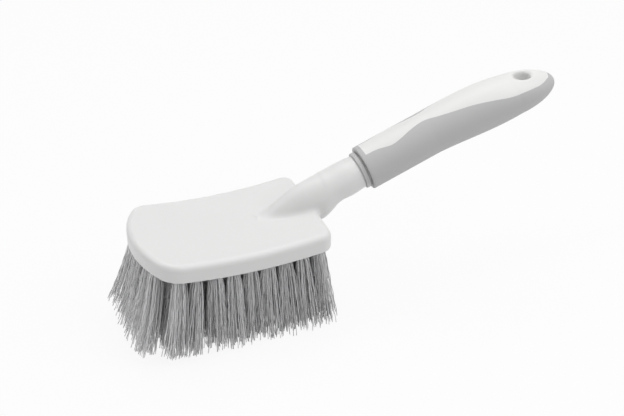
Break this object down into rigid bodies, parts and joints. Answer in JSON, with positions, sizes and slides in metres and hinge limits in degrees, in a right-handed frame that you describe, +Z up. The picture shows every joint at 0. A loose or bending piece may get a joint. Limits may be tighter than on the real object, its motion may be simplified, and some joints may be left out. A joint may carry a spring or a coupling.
{
  "type": "scrub brush",
  "caption": "Hand scrub brush with a bowed, round-fronted bristle block, long stiff grey bristles and an upswept soft-grip handle with a hanging hole.",
  "frame": {"origin": "middle of the overall box in X and Y, at the level of the bristle tips that the brush stands on", "axes": "+X from the block to the handle's end, +Z up out of the block's back, +Y across, completing a right-handed frame"},
  "size_m": [0.2852, 0.0748, 0.1254],
  "materials": {
    "block_plastic": "semi-gloss moulded polypropylene, off-white",
    "core_plastic": "satin moulded polypropylene, off-white",
    "grip_rubber": "matt soft thermoplastic rubber, mid grey",
    "ring_plastic": "satin, light grey",
    "bristle_plastic": "satin crimped polypropylene filament, mixed greys",
    "anchor_steel": "bright flat wire"
  },
  "bodies": {
    "root": {"brush_head": "block_plastic", "collar_ring": "ring_plastic", "handle_core": "core_plastic", "soft_grip": "grip_rubber", "tuft_row_01": "bristle_plastic", "tuft_row_02": "bristle_plastic", "tuft_row_03": "bristle_plastic", "tuft_row_04": "bristle_plastic", "tuft_row_05": "bristle_plastic", "tuft_row_06": "bristle_plastic", "tuft_row_07": "bristle_plastic", "tuft_row_08": "bristle_plastic", "tuft_row_09": "bristle_plastic", "tuft_row_10": "bristle_plastic", "tuft_anchors_01": "anchor_steel", "tuft_anchors_02": "anchor_steel", "tuft_anchors_03": "anchor_steel", "tuft_anchors_04": "anchor_steel", "tuft_anchors_05": "anchor_steel", "tuft_anchors_06": "anchor_steel", "tuft_anchors_07": "anchor_steel", "tuft_anchors_08": "anchor_steel", "tuft_anchors_09": "anchor_steel", "tuft_anchors_10": "anchor_steel"}
  },
  "joints": []
}
